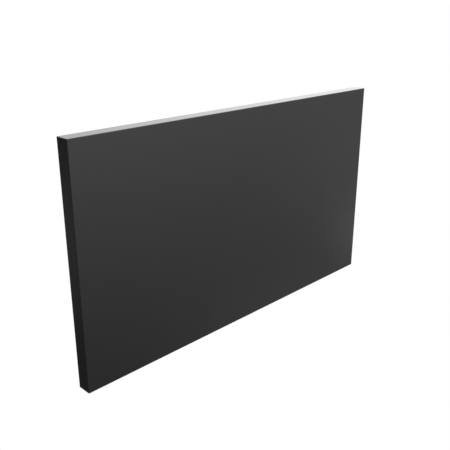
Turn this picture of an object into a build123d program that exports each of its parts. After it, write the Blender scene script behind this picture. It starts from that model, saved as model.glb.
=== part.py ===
from build123d import *
from math import radians, tan
import os

# Boxed kick plate for the foot of a door, hung on concealed hook rails.
#
# Frame: X runs along the plate's width, +Y points into the door, +Z is up.
# The door's face is the plane Y = 0, and the origin is the middle of the plate's outline on it.
# Two door rails stay screwed to the door.  Everything else is the plate, which lifts off upwards.
# All sizes are in millimetres.

# ---- The plate -------------------------------------------------------------------------------
plate_width = 710.0  # a 762 mm door leaf less 26 mm at each side
plate_height = 400.0  # covers a wheelchair's footrests
sheet_gauge = 1.5  # steel sheet of the face tray
fold_radius = 0.8  # outside of a V-cut fold
rim_gap = 1.2  # the tray's free edge stands this far off the door
core_thickness = 18.0  # plywood that backs the sheet
core_clearance = 0.5  # between the core's edges and the tray's walls
core_corner_cut = 3.0  # clears the corner welds inside the tray
bond_thickness = 0.3  # adhesive between the sheet and the core
bond_margin = 6.0  # the adhesive stops this far short of the core's edges

# ---- The hook rails: one extrusion, used upright on the door and upside down on the plate ------
rail_gauge = 3.0
flange_height = 24.0
hook_engagement = 12.0  # how far the tongue sits down behind the lip
hook_play = 0.3  # clearance on each side of the tongue and behind the lip
rest_strip_thickness = 1.5  # strip in the slot's floor that carries the tongue
rail_land = 1.5  # air between the lip's tip and the web above it
hook_lead_in = 0.8  # chamfer on the lip's tip
rail_corner_radius = 1.0  # where the flange meets the web
rail_edge_radius = 0.4
drill_line_depth = 0.3  # scribed groove on the flange that guides the drill
rail_end_inset = 30.0  # from the plate's side to the door rail's end
rail_edge_distance = 80.0  # from the plate's top or bottom to a door rail's row of holes
hole_end_margin = 25.0  # from the door rail's end to its last hole
holes_per_rail = 5

door_hole_diameter = 5.5  # for a 5 mm countersunk screw
door_hole_head = 9.6

cap_thickness = 2.0  # end cap outside the door rail
cap_plug_length = 9.5  # plug that fills the slot's end and stops the tongue
cap_corner_radius = 0.8
cap_edge_radius = 0.5  # round the cap's outer face
side_play = 0.5  # between the tongue's end and the plug

# ---- Fasteners -------------------------------------------------------------------------------
hanger_screw_diameter = 4.0
hanger_screw_head = 8.0
hanger_screw_length = 16.0
hanger_hole_clearance = 0.5  # on the diameter
buffer_screw_diameter = 3.5
buffer_screw_head = 7.0
buffer_screw_head_height = 2.4
buffer_screw_length = 16.0
pan_head_rounding = 1.0
screw_tip_share = 0.75  # a tip is this share of the screw's diameter long
pilot_extra_depth = 0.6
countersink_angle = 90.0
drive_lobes = 6
drive_width_share = 0.52  # across the socket's points before they are rounded, of the head's diameter
drive_waist_share = 0.7  # across the socket between its lobes, of that width
drive_lobe_radius_share = 0.16  # a lobe's rounding, of half that width
drive_valley_radius_share = 0.6  # the rounding between two lobes, of half that width
drive_depth_share = 0.6  # of the head's height

# ---- Gasket and buffers ----------------------------------------------------------------------
gasket_width = 10.0
gasket_clearance = 1.0  # from the gasket to the tray's wall
buffer_count = 4
buffer_base_diameter = 22.0
buffer_tip_diameter = 19.0
buffer_edge_radius = 1.5
buffer_seat_depth = 4.0  # the screw's head lies this deep in the rubber
buffer_seat_clearance = 1.5  # on the head's diameter
buffer_end_margin = 50.0  # from the door rail's end to the last buffer
buffer_gap = 8.0  # between a lifted buffer and the rail above it

lift_clearance = 2.0  # lift beyond the point where the hooks come free

# ---- Worked out ------------------------------------------------------------------------------
slot_width = rail_gauge + 2 * hook_play
hook_offset = rail_gauge + slot_width  # the extrusion's whole depth
recess_depth = hook_offset + hook_play  # from the door's face to the core
core_front = -(recess_depth + core_thickness)
sheet_back = core_front - bond_thickness
plate_front = sheet_back - sheet_gauge
tray_depth = -plate_front - rim_gap

lip_height = rest_strip_thickness + hook_engagement
web_top = flange_height + rail_gauge
rail_height = web_top + lip_height
tongue_tip = web_top + rest_strip_thickness
hanger_top = tongue_tip + rail_height
hole_line = flange_height / 2

inner_width = plate_width - 2 * sheet_gauge
inner_height = plate_height - 2 * sheet_gauge
core_width = inner_width - 2 * core_clearance
core_height = inner_height - 2 * core_clearance

door_rail_length = plate_width - 2 * rail_end_inset
hanger_rail_length = door_rail_length - 2 * (cap_plug_length + side_play)
hole_span = door_rail_length - 2 * hole_end_margin
hole_pitch = hole_span / (holes_per_rail - 1)
hole_places = [-hole_span / 2 + i * hole_pitch for i in range(holes_per_rail)]
hanger_hole_span = hanger_rail_length - 2 * (hole_end_margin - cap_plug_length)
hanger_pitch = hanger_hole_span / (holes_per_rail - 1)
hanger_places = [-hanger_hole_span / 2 + i * hanger_pitch for i in range(holes_per_rail)]

lift_travel = hook_engagement + lift_clearance

# The flange's lower edge of each door rail, as a height above the plate's middle.
rail_bases = {
    "upper": plate_height / 2 - rail_edge_distance - hole_line,
    "lower": -(plate_height / 2 - rail_edge_distance) - hole_line,
}

gasket_length = inner_width - 2 * gasket_clearance
gasket_top_edge = inner_height / 2 - gasket_clearance

buffer_span = door_rail_length - 2 * buffer_end_margin
buffer_places = [-buffer_span / 2 + i * buffer_span / (buffer_count - 1) for i in range(buffer_count)]
buffer_height = rail_bases["lower"] - lift_travel - buffer_gap - buffer_base_diameter / 2


def block(width, depth, height, x=0.0, y=0.0, z=0.0):
    """A box from its middle in X and Z, and from its back face at y towards the room."""
    return Pos(x, y - depth / 2, z) * Box(width, depth, height)


# ---- The plate's shell and core --------------------------------------------------------------
def face_tray():
    """Sheet folded back on all four sides, with its corners welded and ground."""
    outer = block(plate_width, tray_depth, plate_height, y=-rim_gap)
    front_edges = outer.edges().group_by(Axis.Y)[0]
    corner_edges = outer.edges().filter_by(Axis.Y)
    outer = fillet(front_edges + corner_edges, fold_radius)
    inner_depth = tray_depth - sheet_gauge
    return outer - block(inner_width, inner_depth, inner_height, y=-rim_gap)


def bond_layer():
    """Film of adhesive between the sheet and the core."""
    width, height = core_width - 2 * bond_margin, core_height - 2 * bond_margin
    return block(width, bond_thickness, height, y=core_front)


def core_board():
    """Plywood panel with its corners cut and a pilot hole for every screw."""
    board = block(core_width, core_thickness, core_height, y=-recess_depth)
    board = chamfer(board.edges().filter_by(Axis.Y), core_corner_cut)
    hanger_depth = hanger_screw_length - rail_gauge + pilot_extra_depth
    for base in rail_bases.values():
        z = base + hanger_top - hole_line
        for x in hanger_places:
            board -= pilot_hole(x, z, hanger_screw_diameter, hanger_depth)
    buffer_rubber = recess_depth - buffer_seat_depth
    buffer_depth = buffer_screw_length - buffer_rubber + pilot_extra_depth
    for x in buffer_places:
        board -= pilot_hole(x, buffer_height, buffer_screw_diameter, buffer_depth)
    return board


def pilot_hole(x, z, diameter, depth):
    """Cylinder that enters the core from its back."""
    return Pos(x, -recess_depth - depth / 2, z) * Rot(X=90) * Cylinder(diameter / 2, depth)


# ---- Hook rails ------------------------------------------------------------------------------
def rail_section():
    """Flange, web and lip of the hook rail, as it stands on the door, from the flange's lower edge."""
    groove = drill_line_depth
    corners = [
        ((0, 0), rail_edge_radius),
        ((0, web_top), rail_edge_radius),
        ((-slot_width, web_top), 0),
        ((-slot_width, rail_height - hook_lead_in), 0),
        ((-slot_width - hook_lead_in, rail_height), 0),
        ((-hook_offset + hook_lead_in, rail_height), 0),
        ((-hook_offset, rail_height - hook_lead_in), 0),
        ((-hook_offset, flange_height), rail_corner_radius),
        ((-rail_gauge, flange_height), rail_corner_radius),
        ((-rail_gauge, hole_line + groove), 0),
        ((-rail_gauge + groove, hole_line), 0),
        ((-rail_gauge, hole_line - groove), 0),
        ((-rail_gauge, 0), rail_edge_radius),
    ]
    return make_face(Plane.YZ * rounded_outline(corners))


def rounded_outline(corners):
    """Closed outline from a list of points, each with the radius of its corner."""
    points, radii = zip(*corners)
    return FilletPolyline(*points, radius=list(radii), close=True)


def countersink_cone(top_diameter, hole_diameter, x, face, z):
    """Cone that opens towards the room from a hole's wall to its full width at the face."""
    depth = (top_diameter - hole_diameter) / 2 / slope()
    cone = Cone(hole_diameter / 2, top_diameter / 2, depth)
    return Pos(x, face + depth / 2, z) * Rot(X=90) * cone


def slope():
    """How far a countersink widens in radius for each millimetre of its depth."""
    return tan(radians(countersink_angle / 2))


def hook_rail(length, places, hole_diameter, head_diameter):
    """A length of the extrusion with a row of countersunk holes through its flange."""
    rail = extrude(rail_section(), amount=length / 2, both=True)
    for x in places:
        rail -= Pos(x, -rail_gauge / 2, hole_line) * Rot(X=90) * Cylinder(hole_diameter / 2, 2 * rail_gauge)
        rail -= countersink_cone(head_diameter, hole_diameter, x, -rail_gauge, hole_line)
    return rail


def door_rail(base):
    """Hook rail with its lip upwards, screwed flat against the door."""
    rail = hook_rail(door_rail_length, hole_places, door_hole_diameter, door_hole_head)
    return Pos(0, 0, base) * rail


def hanger_rail(base):
    """The same extrusion upside down, screwed to the core, with its tongue in the door rail's slot."""
    hole = hanger_screw_diameter + hanger_hole_clearance
    rail = hook_rail(hanger_rail_length, hanger_places, hole, hanger_screw_head)
    return Pos(0, -recess_depth, base + hanger_top) * Rot(X=180) * rail


def rest_strip(base):
    """Nylon strip on the slot's floor, between the two plugs."""
    length = door_rail_length - 2 * cap_plug_length
    z = base + web_top + rest_strip_thickness / 2
    return block(length, rail_gauge, rest_strip_thickness, y=-hook_play, z=z)


def end_cap(base, side):
    """Moulded cap over a door rail's end, with a plug that fills the slot; side is -1 or 1."""
    plate = block(cap_thickness, hook_offset, rail_height, z=rail_height / 2)
    plate = fillet(plate.edges().filter_by(Axis.X), cap_corner_radius)
    outer_face = plate.faces().sort_by(Axis.X)[-1 if side > 0 else 0]
    plate = fillet(outer_face.edges(), cap_edge_radius)
    plug = block(cap_plug_length, slot_width, lip_height, z=web_top + lip_height / 2)
    reach = (cap_plug_length + cap_thickness) / 2
    cap = plate + Pos(-side * reach, 0, 0) * plug
    return Pos(side * (door_rail_length + cap_thickness) / 2, 0, base) * cap


# ---- Fasteners -------------------------------------------------------------------------------
def drive_recess(head_diameter, head_height):
    """Six-lobed socket, open towards +Z at the head's top, which is at Z = 0."""
    reach = drive_width_share * head_diameter / 2
    depth = drive_depth_share * head_height
    corners = []
    for i in range(drive_lobes):
        lobe = Vector(reach, 0).rotate(Axis.Z, 360 / drive_lobes * i)
        valley = Vector(drive_waist_share * reach, 0).rotate(Axis.Z, 360 / drive_lobes * (i + 0.5))
        corners.append((lobe, drive_lobe_radius_share * reach))
        corners.append((valley, drive_valley_radius_share * reach))
    star = make_face(rounded_outline(corners))
    return Pos(0, 0, -depth) * extrude(star, amount=depth, dir=(0, 0, 1))


def countersunk_screw(diameter, head_diameter, length):
    """Wood screw with a flat head whose top is at Z = 0, pointing down."""
    head_height = (head_diameter - diameter) / 2 / slope()
    tip = screw_tip_share * diameter
    outline = [
        (0, 0),
        (head_diameter / 2, 0),
        (diameter / 2, -head_height),
        (diameter / 2, -length + tip),
        (0, -length),
    ]
    body = revolve(make_face(Plane.XZ * Polyline(*outline, close=True)), Axis.Z)
    return body - drive_recess(head_diameter, head_height)


def pan_screw(diameter, head_diameter, head_height, length):
    """Pan-head screw whose head bears at Z = 0 and whose shank points down."""
    tip = screw_tip_share * diameter
    corners = [
        ((0, head_height), 0),
        ((head_diameter / 2, head_height), pan_head_rounding),
        ((head_diameter / 2, 0), 0),
        ((diameter / 2, 0), 0),
        ((diameter / 2, -length + tip), 0),
        ((0, -length), 0),
    ]
    body = revolve(make_face(Plane.XZ * rounded_outline(corners)), Axis.Z)
    return body - Pos(0, 0, head_height) * drive_recess(head_diameter, head_height)


def hanger_screws(base):
    """The row of countersunk screws that holds one hanger rail to the core."""
    screw = countersunk_screw(hanger_screw_diameter, hanger_screw_head, hanger_screw_length)
    y = -recess_depth + rail_gauge
    z = base + hanger_top - hole_line
    return Compound([Pos(x, y, z) * Rot(X=-90) * screw for x in hanger_places])


def buffer_screws():
    """The screws that hold the rubber buffers, each sunk below its buffer's face."""
    screw = pan_screw(
        buffer_screw_diameter, buffer_screw_head, buffer_screw_head_height, buffer_screw_length
    )
    y = -buffer_seat_depth
    return Compound([Pos(x, y, buffer_height) * Rot(X=-90) * screw for x in buffer_places])


# ---- Soft parts ------------------------------------------------------------------------------
def gaskets():
    """Foam strips round the back of the core: the top and bottom ones run through, the sides butt."""
    level = gasket_top_edge - gasket_width / 2
    side_length = 2 * (gasket_top_edge - gasket_width)
    side_x = (gasket_length - gasket_width) / 2
    return {
        "gasket_top": block(gasket_length, recess_depth, gasket_width, z=level),
        "gasket_bottom": block(gasket_length, recess_depth, gasket_width, z=-level),
        "gasket_left": block(gasket_width, recess_depth, side_length, x=-side_x),
        "gasket_right": block(gasket_width, recess_depth, side_length, x=side_x),
    }


def kick_buffer(x):
    """Tapered rubber foot that carries a blow at the plate's bottom straight to the door."""
    seat = (buffer_screw_head + buffer_seat_clearance) / 2
    floor = recess_depth - buffer_seat_depth
    corners = [
        ((buffer_screw_diameter / 2, 0), 0),
        ((buffer_base_diameter / 2, 0), 0),
        ((buffer_tip_diameter / 2, recess_depth), buffer_edge_radius),
        ((seat, recess_depth), 0),
        ((seat, floor), 0),
        ((buffer_screw_diameter / 2, floor), 0),
    ]
    rubber = revolve(make_face(Plane.XZ * rounded_outline(corners)), Axis.Z)
    return Pos(x, -recess_depth, buffer_height) * Rot(X=-90) * rubber


# ---- The assembly ----------------------------------------------------------------------------
def door_side():
    """The pieces that stay on the door, by name."""
    pieces = {}
    for level, base in rail_bases.items():
        pieces[f"door_rail_{level}"] = door_rail(base)
        pieces[f"rest_strip_{level}"] = rest_strip(base)
        for name, side in (("left", -1), ("right", 1)):
            pieces[f"end_cap_{level}_{name}"] = end_cap(base, side)
    return pieces


def plate_side():
    """The pieces that lift off together, by name."""
    pieces = {"face_tray": face_tray(), "bond_layer": bond_layer(), "core_board": core_board()}
    for level, base in rail_bases.items():
        pieces[f"hanger_rail_{level}"] = hanger_rail(base)
        pieces[f"hanger_screws_{level}"] = hanger_screws(base)
    pieces.update(gaskets())
    for number, x in enumerate(buffer_places, start=1):
        pieces[f"kick_buffer_{number}"] = kick_buffer(x)
    pieces["buffer_screws"] = buffer_screws()
    return pieces


def main():
    os.makedirs("parts", exist_ok=True)
    for name, piece in {**door_side(), **plate_side()}.items():
        export_step(piece, f"parts/{name}.step")


if __name__ == "__main__":
    main()
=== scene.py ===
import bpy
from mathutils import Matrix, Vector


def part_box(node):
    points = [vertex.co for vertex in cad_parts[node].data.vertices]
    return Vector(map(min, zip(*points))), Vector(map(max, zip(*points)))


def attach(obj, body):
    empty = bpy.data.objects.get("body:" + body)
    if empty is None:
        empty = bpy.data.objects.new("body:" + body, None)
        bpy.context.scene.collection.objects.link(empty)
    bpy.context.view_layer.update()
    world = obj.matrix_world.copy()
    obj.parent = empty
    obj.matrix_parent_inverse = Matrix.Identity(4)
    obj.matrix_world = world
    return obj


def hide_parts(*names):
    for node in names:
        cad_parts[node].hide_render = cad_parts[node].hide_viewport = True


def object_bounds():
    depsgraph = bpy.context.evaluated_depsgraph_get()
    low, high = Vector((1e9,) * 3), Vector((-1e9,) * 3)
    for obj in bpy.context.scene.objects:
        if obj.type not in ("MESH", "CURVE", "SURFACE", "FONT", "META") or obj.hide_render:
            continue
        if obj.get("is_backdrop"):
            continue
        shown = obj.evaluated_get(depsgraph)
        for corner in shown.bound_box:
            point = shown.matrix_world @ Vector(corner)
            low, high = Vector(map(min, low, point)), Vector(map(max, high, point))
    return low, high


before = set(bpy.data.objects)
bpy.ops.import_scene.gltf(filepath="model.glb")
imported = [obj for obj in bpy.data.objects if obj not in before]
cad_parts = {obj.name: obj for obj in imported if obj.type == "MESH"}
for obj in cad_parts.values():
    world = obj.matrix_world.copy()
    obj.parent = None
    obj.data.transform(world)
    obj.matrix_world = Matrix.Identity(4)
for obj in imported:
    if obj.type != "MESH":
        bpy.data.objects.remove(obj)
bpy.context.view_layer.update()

import math
from typing import NamedTuple

import bmesh
import bpy
from bpy.props import FloatProperty, FloatVectorProperty, IntProperty, PointerProperty
from mathutils import Vector, noise

bl_info = {
    "name": "Kick plate",
    "version": (1, 0, 0),
    "blender": (4, 5, 0),
    "location": "3D View > Sidebar > Kick plate",
    "description": "Finishes, soft parts and studio for a boxed kick plate on hook rails",
    "category": "Object",
}

MM = 0.001

# Sockets of the colour side of a Mix node.
MIX_A, MIX_B, MIX_RESULT = 6, 7, 2


# ---- Small helpers ---------------------------------------------------------------------------
def linear(hex_colour):
    """An sRGB hex colour such as "#1c1c1d" as linear red, green and blue."""
    channels = [int(hex_colour[i:i + 2], 16) / 255 for i in (1, 3, 5)]
    return tuple(c / 12.92 if c <= 0.04045 else ((c + 0.055) / 1.055) ** 2.4 for c in channels)


def scaled(colour, factor):
    """A linear colour made darker or paler; returns red, green, blue and an alpha of 1."""
    return (*(factor * c for c in colour), 1)


def add_node(tree, kind, settings=None, inputs=None):
    """Adds a node, sets its properties, and fills its inputs with values or links."""
    node = tree.nodes.new(kind)
    for name, value in (settings or {}).items():
        setattr(node, name, value)
    for key, value in (inputs or {}).items():
        if isinstance(value, bpy.types.NodeSocket):
            tree.links.new(value, node.inputs[key])
        else:
            node.inputs[key].default_value = value
    return node


def start_material(name, colour, metallic, roughness):
    """A material with one Principled shader.  Returns it with its tree, shader and coordinates."""
    material = bpy.data.materials.new(name)
    material.use_nodes = True
    tree = material.node_tree
    shader = tree.nodes["Principled BSDF"]
    shader.inputs["Base Color"].default_value = (*colour, 1)
    shader.inputs["Metallic"].default_value = metallic
    shader.inputs["Roughness"].default_value = roughness
    place = add_node(tree, "ShaderNodeTexCoord").outputs["Object"]
    return material, tree, shader, place


def stretched(tree, place, x, y, z):
    """Object coordinates scaled along each axis, in cycles per metre for a pattern of scale 1."""
    return add_node(tree, "ShaderNodeMapping", None, {"Vector": place, "Scale": (x, y, z)}).outputs[0]


def dress(material, names):
    """Gives CAD nodes their finish and leaves their shapes alone."""
    for name in names:
        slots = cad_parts[name].material_slots
        if not slots:
            raise RuntimeError(f"CAD node {name} has no material slot to dress")
        for slot in slots:
            slot.material = material


def nodes_like(*starts):
    """Names of the CAD nodes that begin with one of these words, in order."""
    found = sorted(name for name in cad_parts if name.startswith(starts))
    if not found:
        raise RuntimeError(f"the packed model has no node named like {starts}")
    return found


# ---- Finishes --------------------------------------------------------------------------------
def powder_coated_steel(colours):
    """Satin polyester powder, sprayed and stoved: an even near-black skin.  The flow of the melted
    powder leaves a fine orange peel, and the film's thickness makes broad, faint changes of sheen."""
    film_patch, peel_wave, peel_grain = 90 * MM, 4 * MM, 0.9 * MM
    peel_height, grain_height = 0.03 * MM, 0.01 * MM
    roughness_change, paler = 0.03, 1.15
    material, tree, shader, place = start_material(
        "powder_coated_steel", colours.powder_coat, 0.0, colours.powder_roughness
    )
    film = add_node(tree, "ShaderNodeTexNoise", None, {
        "Vector": place,
        "Scale": 1 / film_patch,
        "Detail": 2.0,
    })
    sheen = add_node(tree, "ShaderNodeMapRange", None, {
        "Value": film.outputs["Fac"],
        "To Min": colours.powder_roughness - roughness_change,
        "To Max": colours.powder_roughness + roughness_change,
    })
    tree.links.new(sheen.outputs[0], shader.inputs["Roughness"])
    tint = add_node(tree, "ShaderNodeMix", {"data_type": "RGBA"}, {
        "Factor": film.outputs["Fac"],
        MIX_A: (*colours.powder_coat, 1),
        MIX_B: scaled(colours.powder_coat, paler),
    })
    tree.links.new(tint.outputs[MIX_RESULT], shader.inputs["Base Color"])
    peel = add_node(tree, "ShaderNodeTexNoise", None, {
        "Vector": place,
        "Scale": 1 / peel_wave,
        "Detail": 1.0,
    })
    waves = add_node(tree, "ShaderNodeBump", None, {
        "Height": peel.outputs["Fac"],
        "Distance": peel_height,
    })
    grain = add_node(tree, "ShaderNodeTexNoise", None, {
        "Vector": place,
        "Scale": 1 / peel_grain,
        "Detail": 2.0,
    })
    skin = add_node(tree, "ShaderNodeBump", None, {
        "Height": grain.outputs["Fac"],
        "Distance": grain_height,
        "Normal": waves.outputs[0],
    })
    tree.links.new(skin.outputs[0], shader.inputs["Normal"])
    return material


def birch_plywood(colours):
    """Sanded, oiled birch plywood: pale rotary-cut veneer whose growth rings open into long flames
    along X, each ring deepening to a soft dark line, over short fine pores.  On its cut edges the
    plies are 1.4 mm thick with dark glue between them."""
    log_along, log_across = 1.2, 7.0  # cycles per metre of the log's slow swelling
    rings_in_swelling = 30.0
    late_wood_narrowness, ring_ends = 2.5, 0.93  # the ring darkens late and then stops softly
    cloud_along, cloud_across, cloud_share = 3.0, 12.0, 0.4  # cycles per metre
    pore_length, pore_width, pore_share = 7 * MM, 0.7 * MM, 0.22
    groove_depth = 0.05 * MM
    ply_thickness, glue_line = 1.4 * MM, 0.25 * MM
    material, tree, shader, place = start_material("birch_plywood", colours.birch_pale, 0.0, 0.55)

    # The knife peels the log at a slant, so the ring that it cuts changes slowly along the grain.
    log = add_node(tree, "ShaderNodeTexNoise", None, {
        "Vector": stretched(tree, place, log_along, log_across, log_across),
        "Scale": 1.0,
        "Detail": 2.5,
        "Roughness": 0.45,
        "Distortion": 0.5,
    })
    cut = add_node(tree, "ShaderNodeMath", {"operation": "MULTIPLY"}, {
        0: log.outputs["Fac"],
        1: rings_in_swelling,
    })
    ring = add_node(tree, "ShaderNodeMath", {"operation": "FRACT"}, {0: cut.outputs[0]})
    late = add_node(tree, "ShaderNodeMath", {"operation": "POWER"}, {
        0: ring.outputs[0],
        1: late_wood_narrowness,
    })
    edge_of_ring = add_node(tree, "ShaderNodeMapRange", {"interpolation_type": "SMOOTHSTEP"}, {
        "Value": ring.outputs[0],
        "From Min": 1.0,
        "From Max": ring_ends,
    })
    season = add_node(tree, "ShaderNodeMath", {"operation": "MULTIPLY"}, {
        0: late.outputs[0],
        1: edge_of_ring.outputs[0],
    })
    cloud = add_node(tree, "ShaderNodeTexNoise", None, {
        "Vector": stretched(tree, place, cloud_along, cloud_across, cloud_across),
        "Scale": 1.0,
        "Detail": 3.0,
    })
    figure = add_node(tree, "ShaderNodeMix", {"data_type": "FLOAT"}, {
        "Factor": cloud_share,
        "A": season.outputs[0],
        "B": cloud.outputs["Fac"],
    })
    pores = add_node(tree, "ShaderNodeTexNoise", None, {
        "Vector": stretched(tree, place, 1 / pore_length, 1 / pore_width, 1 / pore_width),
        "Scale": 1.0,
        "Detail": 2.0,
    })
    dashes = add_node(tree, "ShaderNodeMapRange", None, {
        "Value": pores.outputs["Fac"],
        "From Min": 0.5,
        "From Max": 0.7,
    })
    veined = add_node(tree, "ShaderNodeMix", {"data_type": "FLOAT"}, {
        "Factor": pore_share,
        "A": figure.outputs[0],
        "B": dashes.outputs[0],
    })
    depth_of_tone = add_node(tree, "ShaderNodeMapRange", None, {
        "Value": veined.outputs[0],
        "From Min": 0.1,
        "From Max": 0.75,
    })
    veneer = add_node(tree, "ShaderNodeMix", {"data_type": "RGBA"}, {
        "Factor": depth_of_tone.outputs[0],
        MIX_A: (*colours.birch_pale, 1),
        MIX_B: (*colours.birch_dark, 1),
    })

    depth = add_node(tree, "ShaderNodeSeparateXYZ", None, {0: place}).outputs["Y"]
    # A ping-pong turns twice in each ply, so it is given half of a ply.
    ply = add_node(tree, "ShaderNodeMath", {"operation": "PINGPONG"}, {
        0: depth,
        1: ply_thickness / 2,
    })
    glue = add_node(tree, "ShaderNodeMapRange", None, {
        "Value": ply.outputs[0],
        "From Max": glue_line,
    })
    edge = add_node(tree, "ShaderNodeMix", {"data_type": "RGBA"}, {
        "Factor": glue.outputs[0],
        MIX_A: (*colours.birch_glue, 1),
        MIX_B: (*colours.birch_pale, 1),
    })
    normal = add_node(tree, "ShaderNodeNewGeometry").outputs["Normal"]
    facing = add_node(tree, "ShaderNodeSeparateXYZ", None, {0: normal})
    flat = add_node(tree, "ShaderNodeMath", {"operation": "ABSOLUTE"}, {0: facing.outputs["Y"]})
    wood = add_node(tree, "ShaderNodeMix", {"data_type": "RGBA"}, {
        "Factor": flat.outputs[0],
        MIX_A: edge.outputs[MIX_RESULT],
        MIX_B: veneer.outputs[MIX_RESULT],
    })
    tree.links.new(wood.outputs[MIX_RESULT], shader.inputs["Base Color"])
    sheen = add_node(tree, "ShaderNodeMapRange", None, {
        "Value": pores.outputs["Fac"],
        "To Min": 0.62,
        "To Max": 0.48,
    })
    tree.links.new(sheen.outputs[0], shader.inputs["Roughness"])
    grooves = add_node(tree, "ShaderNodeBump", None, {
        "Height": pores.outputs["Fac"],
        "Distance": groove_depth,
    })
    tree.links.new(grooves.outputs[0], shader.inputs["Normal"])
    return material


def extruded_aluminium(colours):
    """Extruded aluminium, etched and anodised natural: a soft grey metal with the die's fine lines
    running the whole length of the rail."""
    # Die lines are about 0.1 mm apart; 0.7 mm is as fine as still shows.
    line_pitch, lines_along, line_depth = 0.7 * MM, 2.0, 0.008 * MM
    cloud_patch, cloud_share = 35 * MM, 0.35
    darker = 0.86
    material, tree, shader, place = start_material("extruded_aluminium", colours.aluminium, 1.0, 0.34)
    lines = add_node(tree, "ShaderNodeTexNoise", None, {
        "Vector": stretched(tree, place, lines_along, 1 / line_pitch, 1 / line_pitch),
        "Scale": 1.0,
        "Detail": 3.0,
    })
    cloud = add_node(tree, "ShaderNodeTexNoise", None, {
        "Vector": place,
        "Scale": 1 / cloud_patch,
        "Detail": 3.0,
    })
    mixed = add_node(tree, "ShaderNodeMix", {"data_type": "FLOAT"}, {
        "Factor": cloud_share,
        "A": lines.outputs["Fac"],
        "B": cloud.outputs["Fac"],
    })
    sheen = add_node(tree, "ShaderNodeMapRange", None, {
        "Value": mixed.outputs[0],
        "To Min": 0.24,
        "To Max": 0.46,
    })
    tree.links.new(sheen.outputs[0], shader.inputs["Roughness"])
    tint = add_node(tree, "ShaderNodeMix", {"data_type": "RGBA"}, {
        "Factor": mixed.outputs[0],
        MIX_A: scaled(colours.aluminium, darker),
        MIX_B: (*colours.aluminium, 1),
    })
    tree.links.new(tint.outputs[MIX_RESULT], shader.inputs["Base Color"])
    scored = add_node(tree, "ShaderNodeBump", None, {
        "Height": lines.outputs["Fac"],
        "Distance": line_depth,
    })
    tree.links.new(scored.outputs[0], shader.inputs["Normal"])
    return material


def zinc_plated_steel(colours):
    """Steel screws, zinc plated and blue passivated: bright metal whose film drifts between a cold
    blue and a faint straw colour."""
    film_patch = 3 * MM
    material, tree, shader, place = start_material("zinc_plated_steel", colours.zinc, 1.0, 0.3)
    film = add_node(tree, "ShaderNodeTexNoise", None, {
        "Vector": place,
        "Scale": 1 / film_patch,
        "Detail": 3.0,
    })
    tint = add_node(tree, "ShaderNodeMix", {"data_type": "RGBA"}, {
        "Factor": film.outputs["Fac"],
        MIX_A: (*colours.zinc, 1),
        MIX_B: (*colours.zinc_straw, 1),
    })
    tree.links.new(tint.outputs[MIX_RESULT], shader.inputs["Base Color"])
    sheen = add_node(tree, "ShaderNodeMapRange", None, {
        "Value": film.outputs["Fac"],
        "To Min": 0.2,
        "To Max": 0.42,
    })
    tree.links.new(sheen.outputs[0], shader.inputs["Roughness"])
    return material


def moulded_nylon(colours):
    """Injection-moulded black nylon from a spark-eroded tool: a dull, finely stippled skin."""
    # The tool's stipple is about 0.1 mm; it is drawn at 0.5 mm so that it shows.
    stipple_size, stipple_depth = 0.5 * MM, 0.03 * MM
    material, tree, shader, place = start_material("moulded_nylon", colours.nylon, 0.0, 0.5)
    shader.inputs["IOR"].default_value = 1.53
    stipple = add_node(tree, "ShaderNodeTexNoise", None, {
        "Vector": place,
        "Scale": 1 / stipple_size,
        "Detail": 2.0,
    })
    sheen = add_node(tree, "ShaderNodeMapRange", None, {
        "Value": stipple.outputs["Fac"],
        "To Min": 0.42,
        "To Max": 0.58,
    })
    tree.links.new(sheen.outputs[0], shader.inputs["Roughness"])
    pits = add_node(tree, "ShaderNodeBump", None, {
        "Height": stipple.outputs["Fac"],
        "Distance": stipple_depth,
    })
    tree.links.new(pits.outputs[0], shader.inputs["Normal"])
    return material


def cut_foam(colours):
    """Closed-cell rubber foam, knife-cut into strip: a deep matt black pitted with opened cells."""
    # Real cells are 0.3 to 0.6 mm; 1.1 mm is as fine as still shows.
    cell_size, cell_depth = 1.1 * MM, 0.25 * MM
    # How much paler the cell walls are drawn than the pits: painted shade in the pits, painted light on
    # the walls
    painted_pit_shade = 2.2
    material, tree, shader, place = start_material("cut_foam", colours.foam, 0.0, 0.92)
    cells = add_node(tree, "ShaderNodeTexVoronoi", None, {"Vector": place, "Scale": 1 / cell_size})
    wall = add_node(tree, "ShaderNodeMapRange", None, {
        "Value": cells.outputs["Distance"],
        "From Max": 0.6,
    })
    # Painted shade: the colour follows the pits' depth, dark down in each opened cell and paler up its
    # wall
    tint = add_node(tree, "ShaderNodeMix", {"data_type": "RGBA"}, {
        "Factor": wall.outputs[0],
        MIX_A: (*colours.foam, 1),
        MIX_B: scaled(colours.foam, painted_pit_shade),
    })
    tree.links.new(tint.outputs[MIX_RESULT], shader.inputs["Base Color"])
    pits = add_node(tree, "ShaderNodeBump", None, {
        "Height": wall.outputs[0],
        "Distance": cell_depth,
    })
    tree.links.new(pits.outputs[0], shader.inputs["Normal"])
    return material


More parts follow.
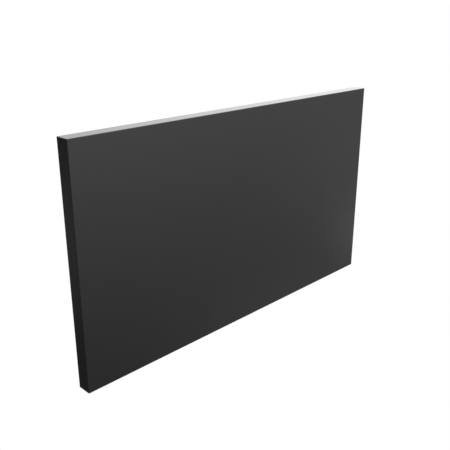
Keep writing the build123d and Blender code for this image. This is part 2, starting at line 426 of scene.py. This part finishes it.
def moulded_rubber(colours):
    """Compression-moulded rubber: charcoal black, softly shining, with a grey bloom in patches."""
    bloom_patch, bloom_paler = 7 * MM, 1.9
    grit_size, grit_height = 0.6 * MM, 0.02 * MM
    material, tree, shader, place = start_material("moulded_rubber", colours.rubber, 0.0, 0.6)
    shader.inputs["IOR"].default_value = 1.52
    bloom = add_node(tree, "ShaderNodeTexNoise", None, {
        "Vector": place,
        "Scale": 1 / bloom_patch,
        "Detail": 4.0,
    })
    tint = add_node(tree, "ShaderNodeMix", {"data_type": "RGBA"}, {
        "Factor": bloom.outputs["Fac"],
        MIX_A: (*colours.rubber, 1),
        MIX_B: scaled(colours.rubber, bloom_paler),
    })
    tree.links.new(tint.outputs[MIX_RESULT], shader.inputs["Base Color"])
    sheen = add_node(tree, "ShaderNodeMapRange", None, {
        "Value": bloom.outputs["Fac"],
        "To Min": 0.5,
        "To Max": 0.72,
    })
    tree.links.new(sheen.outputs[0], shader.inputs["Roughness"])
    grit = add_node(tree, "ShaderNodeTexNoise", None, {
        "Vector": place,
        "Scale": 1 / grit_size,
        "Detail": 2.0,
    })
    skin = add_node(tree, "ShaderNodeBump", None, {
        "Height": grit.outputs["Fac"],
        "Distance": grit_height,
    })
    tree.links.new(skin.outputs[0], shader.inputs["Normal"])
    return material


def polyurethane_adhesive(colours):
    """Cured polyurethane adhesive, rolled out with a notched spreader: cream film in 5 mm ridges."""
    ridge_pitch, thin = 5 * MM, 0.7
    radians_per_metre = 20  # of a wave texture of scale 1
    material, tree, shader, place = start_material("polyurethane_adhesive", colours.adhesive, 0.0, 0.45)
    ridges = add_node(tree, "ShaderNodeTexWave", {"bands_direction": "Z"}, {
        "Vector": place,
        "Scale": 2 * math.pi / (radians_per_metre * ridge_pitch),
        "Distortion": 1.5,
        "Detail": 1.0,
    })
    tint = add_node(tree, "ShaderNodeMix", {"data_type": "RGBA"}, {
        "Factor": ridges.outputs["Fac"],
        MIX_A: scaled(colours.adhesive, thin),
        MIX_B: (*colours.adhesive, 1),
    })
    tree.links.new(tint.outputs[MIX_RESULT], shader.inputs["Base Color"])
    return material


# ---- Soft parts ------------------------------------------------------------------------------
def superellipse(angle, squareness):
    """A point of a rounded square of half-size 1; a higher squareness has tighter corners."""
    c, s = math.cos(angle), math.sin(angle)
    power = 2 / squareness
    return math.copysign(abs(c) ** power, c), math.copysign(abs(s) ** power, s)


def arc(centre, radius, start, stop, steps):
    """Points of (distance, height) round part of a circle, with angles in degrees."""
    points = []
    for i in range(steps + 1):
        angle = math.radians(start + (stop - start) * i / steps)
        points.append((centre[0] + radius * math.cos(angle), centre[1] + radius * math.sin(angle)))
    return points


def skin_rings(bm, rings, closed_ends):
    """Joins rings of the same number of vertices with quads, and fills both ends if asked."""
    count = len(rings[0])
    for near, far in zip(rings, rings[1:]):
        for i in range(count):
            j = (i + 1) % count
            bm.faces.new((near[i], near[j], far[j], far[i]))
    if closed_ends:
        bm.faces.new(rings[0])
        bm.faces.new(tuple(reversed(rings[-1])))


def finish_mesh(name, bm, material, smooth_below):
    """Makes bm an object, smooth except across edges that turn more than smooth_below degrees."""
    bmesh.ops.recalc_face_normals(bm, faces=bm.faces)
    limit = math.radians(smooth_below)
    for edge in bm.edges:
        edge.smooth = edge.calc_face_angle(0.0) < limit
    for face in bm.faces:
        face.smooth = True
    mesh = bpy.data.meshes.new(name)
    bm.to_mesh(mesh)
    bm.free()
    mesh.materials.append(material)
    piece = bpy.data.objects.new(name, mesh)
    bpy.context.scene.collection.objects.link(piece)
    return piece


def foam_strip(name, node, along, soft, material):
    """A strip of foam as long as its CAD node, glued flat to the core and pressed on the door.
    Its free side is crowned and its thickness wanders a little, as knife-cut foam does."""
    end_length = 1.0 * MM  # the cut ends draw in slightly over this length
    wanders_per_metre = 22
    low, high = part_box(node)
    middle = (low + high) / 2
    size = high - low
    run, across = (0, 2) if along == "X" else (2, 0)
    length, half_width, half_depth = size[run], size[across] / 2, size.y / 2

    steps = max(1, round(length / soft.strip_step))
    end_stations = (0.0, 0.35 * end_length, end_length)
    stations = list(end_stations)
    stations += [i * length / steps for i in range(1, steps)]
    stations += [length - s for s in reversed(end_stations)]

    bm = bmesh.new()
    rings = []
    for s in stations:
        end_gap = min(s, length - s)
        drawn_in = 1 - soft.strip_end_pull * max(0.0, 1 - end_gap / end_length) ** 2
        # The name's length gives each strip its own stretch of the noise.
        swelling = noise.noise(Vector((s * wanders_per_metre, len(name), 0.5)))
        free_size = drawn_in * (1 - soft.strip_wander * (1 + swelling) / 2)
        ring = []
        for i in range(soft.strip_facets):
            angle = 2 * math.pi * (i + 0.5) / soft.strip_facets
            glued = math.sin(angle) < 0
            squareness = soft.strip_glued_squareness if glued else soft.strip_free_squareness
            sideways, outwards = superellipse(angle, squareness)
            place = Vector()
            place[run] = low[run] + s
            place[across] = middle[across] + sideways * half_width * free_size
            place.y = middle.y + outwards * half_depth * (1 if glued else free_size)
            ring.append(bm.verts.new(place))
        rings.append(ring)
    skin_rings(bm, rings, closed_ends=True)
    return finish_mesh(name, bm, material, smooth_below=50)


def buffer_profile(base, depth, soft):
    """Points of (distance from the axis, height above the core) round a buffer's section: foot,
    witness step, drafted side, rim, grip rings, and the screw's seat and hole."""
    foot_round, foot_height = 0.3 * MM, 1.1 * MM
    witness_step, witness_land = 0.25 * MM, 0.15 * MM  # where the mould's halves meet
    rim_start = 6  # degrees round the rim where the drafted side runs into it
    groove, groove_count = 0.35 * MM, 3
    seat_round = 0.4 * MM
    tip = base - soft.buffer_draft
    rim, lip, seat, hole = soft.buffer_rim, soft.buffer_lip, soft.buffer_seat, soft.buffer_hole
    floor = depth - soft.buffer_seat_depth
    witness = foot_height + witness_step

    profile = [(hole, 0.0), (base - foot_round, 0.0)]
    profile += arc((base - foot_round, foot_round), foot_round, -60, 0, 3)
    profile += [
        (base, foot_height),
        (base - witness_step, witness),
        (base - witness_step, witness + witness_land),
    ]
    profile += arc((tip - rim, depth - rim), rim, rim_start, 90, 8)
    face_in, face_out = seat + lip, tip - rim
    pitch = (face_out - face_in) / (groove_count + 1)
    for i in range(groove_count):
        centre = face_out - (i + 1) * pitch
        profile += [(centre + groove, depth), (centre, depth - groove), (centre - groove, depth)]
    profile += arc((face_in, depth - lip), lip, 90, 180, 5)
    profile += arc((seat - seat_round, floor + seat_round), seat_round, 0, -90, 4)
    profile += [(hole, floor)]
    return profile


def rubber_buffer(name, node, soft, material):
    """A moulded foot turned from one profile: a flared base with the mould's witness line, drafted
    sides, a rolled rim and three shallow grip rings on the face that meets the door."""
    low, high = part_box(node)
    middle = (low + high) / 2
    bm = bmesh.new()
    rings = []
    for distance, height in buffer_profile((high.x - low.x) / 2, high.y - low.y, soft):
        ring = []
        for i in range(soft.buffer_facets):
            angle = 2 * math.pi * i / soft.buffer_facets
            x = middle.x + distance * math.cos(angle)
            z = middle.z + distance * math.sin(angle)
            ring.append(bm.verts.new((x, low.y + height, z)))
        rings.append(ring)
    skin_rings(bm, rings + rings[:1], closed_ends=False)
    return finish_mesh(name, bm, material, smooth_below=35)


# ---- Stage -----------------------------------------------------------------------------------
FLOOR_GLOW, CEILING_GLOW = 0.065, 0.8
CEILING_STARTS = 0.6  # sine of the elevation from which the ceiling has its full glow


class SoftBox(NamedTuple):
    """A round glow in the world: where its middle stands, how bright and how narrow it is, and
    between which heights (sines of the elevation) it rises from nothing to its full light."""

    name: str
    turn: float  # degrees round Z from straight in front of the plate, towards its right
    lift: float  # degrees above the horizon
    brightness: float
    narrowness: float
    dark_at: float = -2.0
    full_at: float = -1.0


SOFT_BOXES = (
    SoftBox("front", 26.5, 11.5, brightness=1.82, narrowness=12.5),
    SoftBox("back_right", 95, 8, brightness=2.2, narrowness=2.8, dark_at=-0.05, full_at=0.1),
    SoftBox("back_left_fill", 202.5, -20, brightness=0.31, narrowness=240.0),
    SoftBox("left", -90, -8, brightness=0.55, narrowness=45.0),
    SoftBox("floor_back_right", 132, -22, brightness=0.9, narrowness=20.0, dark_at=0.12, full_at=-0.12),
    SoftBox("floor_front_left", -45, -28, brightness=0.45, narrowness=20.0),
    SoftBox("floor_front_right", 57.5, -36, brightness=0.8, narrowness=210.0),
    SoftBox("right_spot", 61.5, -20.5, brightness=1.7, narrowness=2400.0),
    SoftBox("right_spot_upper", 58, -13.5, brightness=0.21, narrowness=560.0),
)


def lay_light_table(studio, low):
    """A wide sheet of lit opal acrylic just under the plate, which leaves no shadow.  Only the
    camera sees it, so the plate is lit and mirrored by the soft boxes alone."""
    bm = bmesh.new()
    bmesh.ops.create_grid(bm, x_segments=1, y_segments=1, size=studio.table_size)
    mesh = bpy.data.meshes.new("light_table")
    bm.to_mesh(mesh)
    bm.free()
    table = bpy.data.objects.new("light_table", mesh)
    table.location = (0, 0, low.z - studio.table_gap)
    bpy.context.scene.collection.objects.link(table)
    opal = bpy.data.materials.new("opal_acrylic")
    opal.use_nodes = True
    tree = opal.node_tree
    tree.nodes.remove(tree.nodes["Principled BSDF"])
    lit = add_node(tree, "ShaderNodeEmission", None, {
        "Color": (1, 1, 1, 1),
        "Strength": studio.table_light,
    })
    tree.links.new(lit.outputs[0], tree.nodes["Material Output"].inputs["Surface"])
    mesh.materials.append(opal)
    table.visible_diffuse = False
    table.visible_glossy = False
    table.visible_shadow = False
    table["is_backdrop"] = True


def hang_soft_boxes():
    """The world as a plain studio of soft boxes with a pale ceiling and a dark floor.  The camera
    itself sees plain white."""
    world = bpy.data.worlds.new("studio")
    bpy.context.scene.world = world
    world.use_nodes = True
    tree = world.node_tree
    direction = add_node(tree, "ShaderNodeTexCoord").outputs["Generated"]
    height = add_node(tree, "ShaderNodeSeparateXYZ", None, {0: direction}).outputs["Z"]
    total = add_node(tree, "ShaderNodeMapRange", {"interpolation_type": "SMOOTHSTEP"}, {
        "Value": height,
        "From Max": CEILING_STARTS,
        "To Min": FLOOR_GLOW,
        "To Max": CEILING_GLOW,
    }).outputs[0]
    for soft_box in SOFT_BOXES:
        turn, lift = math.radians(soft_box.turn), math.radians(soft_box.lift)
        towards = (math.sin(turn) * math.cos(lift), -math.cos(turn) * math.cos(lift), math.sin(lift))
        facing = add_node(tree, "ShaderNodeVectorMath", {"operation": "DOT_PRODUCT"}, {
            0: direction,
            1: towards,
        })
        facing.label = soft_box.name
        nearness = add_node(tree, "ShaderNodeMapRange", None, {
            "Value": facing.outputs["Value"],
            "From Min": -1.0,
        })
        glow = add_node(tree, "ShaderNodeMath", {"operation": "POWER"}, {
            0: nearness.outputs[0],
            1: soft_box.narrowness,
        })
        brightness = add_node(tree, "ShaderNodeMapRange", None, {
            "Value": height,
            "From Min": soft_box.dark_at,
            "From Max": soft_box.full_at,
            "To Max": soft_box.brightness,
        })
        total = add_node(tree, "ShaderNodeMath", {"operation": "MULTIPLY_ADD"}, {
            0: glow.outputs[0],
            1: brightness.outputs[0],
            2: total,
        }).outputs[0]
    seen = add_node(tree, "ShaderNodeLightPath").outputs["Is Camera Ray"]
    strength = add_node(tree, "ShaderNodeMix", {"data_type": "FLOAT"}, {
        "Factor": seen,
        "A": total,
        "B": 1.0,
    })
    background = tree.nodes["Background"]
    background.inputs["Color"].default_value = (1, 1, 1, 1)
    tree.links.new(strength.outputs[0], background.inputs["Strength"])


def place_camera(studio, low, high):
    """A normal lens, left of the plate and above its top edge, looking down across its face."""
    width = high.x - low.x
    data = bpy.data.cameras.new("camera")
    data.lens = studio.lens
    data.sensor_width = 36.0
    camera = bpy.data.objects.new("camera", data)
    camera.location = (
        low.x - studio.camera_left * width,
        low.y - studio.camera_out * width,
        low.z + studio.camera_up * width,
    )
    camera.rotation_euler = (math.pi / 2 - studio.camera_pitch, 0, -studio.camera_yaw)
    bpy.context.scene.collection.objects.link(camera)
    bpy.context.scene.camera = camera


# ---- Values that a user would change -----------------------------------------------------------
def colour_property(name, description, hex_colour):
    """A colour property whose default is an sRGB hex value."""
    return FloatVectorProperty(
        name=name,
        description=description,
        subtype="COLOR",
        min=0.0,
        max=1.0,
        default=linear(hex_colour),
    )


def length_property(name, description, default, least=0.0):
    """A length property whose default and least value are given in millimetres."""
    return FloatProperty(
        name=name,
        description=description,
        unit="LENGTH",
        precision=5,
        min=least * MM,
        default=default * MM,
    )


def share_property(name, description, default, most=1.0):
    """A property for a part of a whole."""
    return FloatProperty(
        name=name,
        description=description,
        subtype="FACTOR",
        min=0.0,
        max=most,
        default=default,
    )


class KickPlateColours(bpy.types.PropertyGroup):
    """Colours of the finishes"""

    powder_coat: colour_property("Powder coat", "Satin black of the face tray", "#131313")
    powder_roughness: share_property("Powder roughness", "How dull the satin powder coat is", 0.2)
    birch_pale: colour_property("Birch, pale", "Early wood of the plywood's face", "#e2c8a0")
    birch_dark: colour_property("Birch, dark", "Late wood and pores of the plywood's face", "#bf9463")
    birch_glue: colour_property("Birch, glue", "Glue lines on the plywood's cut edges", "#6b4a2f")
    aluminium: colour_property("Aluminium", "Natural anodised rails", "#d9dbdd")
    zinc: colour_property("Zinc, blue", "Screws where their passivated film is cold", "#c3cad3")
    zinc_straw: colour_property("Zinc, straw", "Screws where their passivated film is warm", "#d2cbb4")
    nylon: colour_property("Nylon", "End caps and rest strips", "#1d1d1f")
    foam: colour_property("Foam", "Gasket strips", "#161617")
    rubber: colour_property("Rubber", "Buffers", "#1b1b1c")
    adhesive: colour_property("Adhesive", "Film between the sheet and the core", "#cfc3a2")


class KickPlateSoftParts(bpy.types.PropertyGroup):
    """Sizes of the foam strips and the rubber buffers"""

    strip_step: length_property("Strip step", "Length of one stretch of strip", 5.0, least=1.0)
    strip_facets: IntProperty(
        name="Strip facets", description="Points round a strip's section", default=48, min=12
    )
    strip_free_squareness: FloatProperty(
        name="Free side", description="Squareness of the side pressed on the door", default=6.0, min=2.0
    )
    strip_glued_squareness: FloatProperty(
        name="Glued side", description="Squareness of the side glued to the core", default=22.0, min=2.0
    )
    strip_wander: share_property("Wander", "Change in a strip's thickness", 0.06, most=0.3)
    strip_end_pull: share_property("End pull", "How far a cut end draws in", 0.05, most=0.3)
    buffer_facets: IntProperty(
        name="Buffer facets", description="Facets round a buffer", default=72, min=24
    )
    buffer_draft: length_property("Draft", "Taper from base to tip", 1.5)
    buffer_rim: length_property("Rim", "Radius of the outer rim", 1.5, least=0.2)
    buffer_lip: length_property("Lip", "Radius of the seat's lip", 0.5, least=0.1)
    buffer_seat: length_property("Seat", "Radius of the screw head's seat", 4.25, least=1.0)
    buffer_seat_depth: length_property("Seat depth", "Depth of that seat", 4.0, least=0.5)
    buffer_hole: length_property("Hole", "Radius of the screw's hole", 1.75, least=0.5)


class KickPlateStudio(bpy.types.PropertyGroup):
    """Camera and light table"""

    camera_left: FloatProperty(
        name="Camera left",
        description="From the plate's left end, as a share of its width",
        default=0.608,
    )
    camera_out: FloatProperty(
        name="Camera out",
        description="From the plate's face, as a share of its width",
        default=1.0266,
    )
    camera_up: FloatProperty(
        name="Camera up",
        description="Above the plate's foot, as a share of its width",
        default=0.8119,
    )
    camera_yaw: FloatProperty(
        name="Yaw", description="Turn from square-on", subtype="ANGLE", default=math.radians(45.04)
    )
    camera_pitch: FloatProperty(
        name="Pitch", description="Downward tilt", subtype="ANGLE", default=math.radians(19.96)
    )
    lens: FloatProperty(name="Lens", description="Focal length, mm", default=50.0, min=10.0)
    table_gap: length_property("Table gap", "From the plate's foot to the light table", 6.0)
    table_size: length_property("Table size", "Half-width of the light table", 30000.0, least=1000.0)
    table_light: FloatProperty(
        name="Table light", description="Brightness of the light table", default=1.0, min=0.0
    )


# ---- Operators -------------------------------------------------------------------------------
class KICKPLATE_OT_coat_tray(bpy.types.Operator):
    """Coats the folded steel tray in satin black powder"""

    bl_idname = "kick_plate.coat_tray"
    bl_label = "Coat the face tray"

    def execute(self, context):
        colours = context.scene.kick_plate_colours
        dress(powder_coated_steel(colours), ["face_tray"])
        return {"FINISHED"}


class KICKPLATE_OT_face_core(bpy.types.Operator):
    """Gives the core its birch veneer and the film in front of it its adhesive"""

    bl_idname = "kick_plate.face_core"
    bl_label = "Veneer the core"

    def execute(self, context):
        colours = context.scene.kick_plate_colours
        dress(birch_plywood(colours), ["core_board"])
        dress(polyurethane_adhesive(colours), ["bond_layer"])
        return {"FINISHED"}


class KICKPLATE_OT_anodise_rails(bpy.types.Operator):
    """Anodises the door rails and the hanger rails"""

    bl_idname = "kick_plate.anodise_rails"
    bl_label = "Anodise the rails"

    def execute(self, context):
        colours = context.scene.kick_plate_colours
        dress(extruded_aluminium(colours), nodes_like("door_rail_", "hanger_rail_"))
        return {"FINISHED"}


class KICKPLATE_OT_mould_nylon(bpy.types.Operator):
    """Finishes the end caps and the rest strips in black nylon"""

    bl_idname = "kick_plate.mould_nylon"
    bl_label = "Mould caps and strips"

    def execute(self, context):
        colours = context.scene.kick_plate_colours
        dress(moulded_nylon(colours), nodes_like("end_cap_", "rest_strip_"))
        return {"FINISHED"}


class KICKPLATE_OT_plate_screws(bpy.types.Operator):
    """Plates all the screws with zinc"""

    bl_idname = "kick_plate.plate_screws"
    bl_label = "Plate the screws"

    def execute(self, context):
        colours = context.scene.kick_plate_colours
        dress(zinc_plated_steel(colours), nodes_like("hanger_screws_", "buffer_screws"))
        return {"FINISHED"}


class KICKPLATE_OT_lay_gasket(bpy.types.Operator):
    """Lays the four foam strips of the gasket round the core"""

    bl_idname = "kick_plate.lay_gasket"
    bl_label = "Lay the gasket"

    def execute(self, context):
        soft = context.scene.kick_plate_soft_parts
        foam = cut_foam(context.scene.kick_plate_colours)
        for side, along in (("top", "X"), ("bottom", "X"), ("left", "Z"), ("right", "Z")):
            node = f"gasket_{side}"
            strip = foam_strip(f"foam_strip_{side}", node, along, soft, foam)
            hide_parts(node)
            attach(strip, "kick_plate")
        return {"FINISHED"}


class KICKPLATE_OT_mould_buffers(bpy.types.Operator):
    """Moulds the rubber buffers behind the plate's foot"""

    bl_idname = "kick_plate.mould_buffers"
    bl_label = "Mould the buffers"

    def execute(self, context):
        soft = context.scene.kick_plate_soft_parts
        rubber = moulded_rubber(context.scene.kick_plate_colours)
        for node in nodes_like("kick_buffer_"):
            number = node.rsplit("_", 1)[1]
            foot = rubber_buffer(f"rubber_buffer_{number}", node, soft, rubber)
            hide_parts(node)
            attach(foot, "kick_plate")
        return {"FINISHED"}


class KICKPLATE_OT_set_stage(bpy.types.Operator):
    """Sets the light table, the soft light and the camera"""

    bl_idname = "kick_plate.set_stage"
    bl_label = "Set the stage"

    def execute(self, context):
        studio = context.scene.kick_plate_studio
        low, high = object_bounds()
        lay_light_table(studio, low)
        hang_soft_boxes()
        place_camera(studio, low, high)
        context.scene.view_settings.view_transform = "Standard"
        return {"FINISHED"}


# ---- Panel and registration --------------------------------------------------------------------
GROUPS = (
    ("kick_plate_colours", KickPlateColours),
    ("kick_plate_soft_parts", KickPlateSoftParts),
    ("kick_plate_studio", KickPlateStudio),
)

OPERATORS = (
    KICKPLATE_OT_coat_tray,
    KICKPLATE_OT_face_core,
    KICKPLATE_OT_anodise_rails,
    KICKPLATE_OT_mould_nylon,
    KICKPLATE_OT_plate_screws,
    KICKPLATE_OT_lay_gasket,
    KICKPLATE_OT_mould_buffers,
    KICKPLATE_OT_set_stage,
)


class VIEW3D_PT_kick_plate(bpy.types.Panel):
    """Lists the values and the steps in order"""

    bl_idname = "VIEW3D_PT_kick_plate"
    bl_label = "Kick plate"
    bl_space_type = "VIEW_3D"
    bl_region_type = "UI"
    bl_category = "Kick plate"

    def draw(self, context):
        for name, group in GROUPS:
            box = self.layout.box()
            box.label(text=group.__doc__)
            for prop in group.__annotations__:
                box.prop(getattr(context.scene, name), prop)
        for operator in OPERATORS:
            self.layout.operator(operator.bl_idname)


def register():
    for name, group in GROUPS:
        bpy.utils.register_class(group)
        setattr(bpy.types.Scene, name, PointerProperty(type=group))
    for operator in OPERATORS:
        bpy.utils.register_class(operator)
    bpy.utils.register_class(VIEW3D_PT_kick_plate)


def unregister():
    bpy.utils.unregister_class(VIEW3D_PT_kick_plate)
    for operator in reversed(OPERATORS):
        bpy.utils.unregister_class(operator)
    for name, group in reversed(GROUPS):
        delattr(bpy.types.Scene, name)
        bpy.utils.unregister_class(group)


def main():
    register()
    bpy.ops.kick_plate.coat_tray()
    bpy.ops.kick_plate.face_core()
    bpy.ops.kick_plate.anodise_rails()
    bpy.ops.kick_plate.mould_nylon()
    bpy.ops.kick_plate.plate_screws()
    bpy.ops.kick_plate.lay_gasket()
    bpy.ops.kick_plate.mould_buffers()
    bpy.ops.kick_plate.set_stage()


if __name__ == "__main__":
    main()
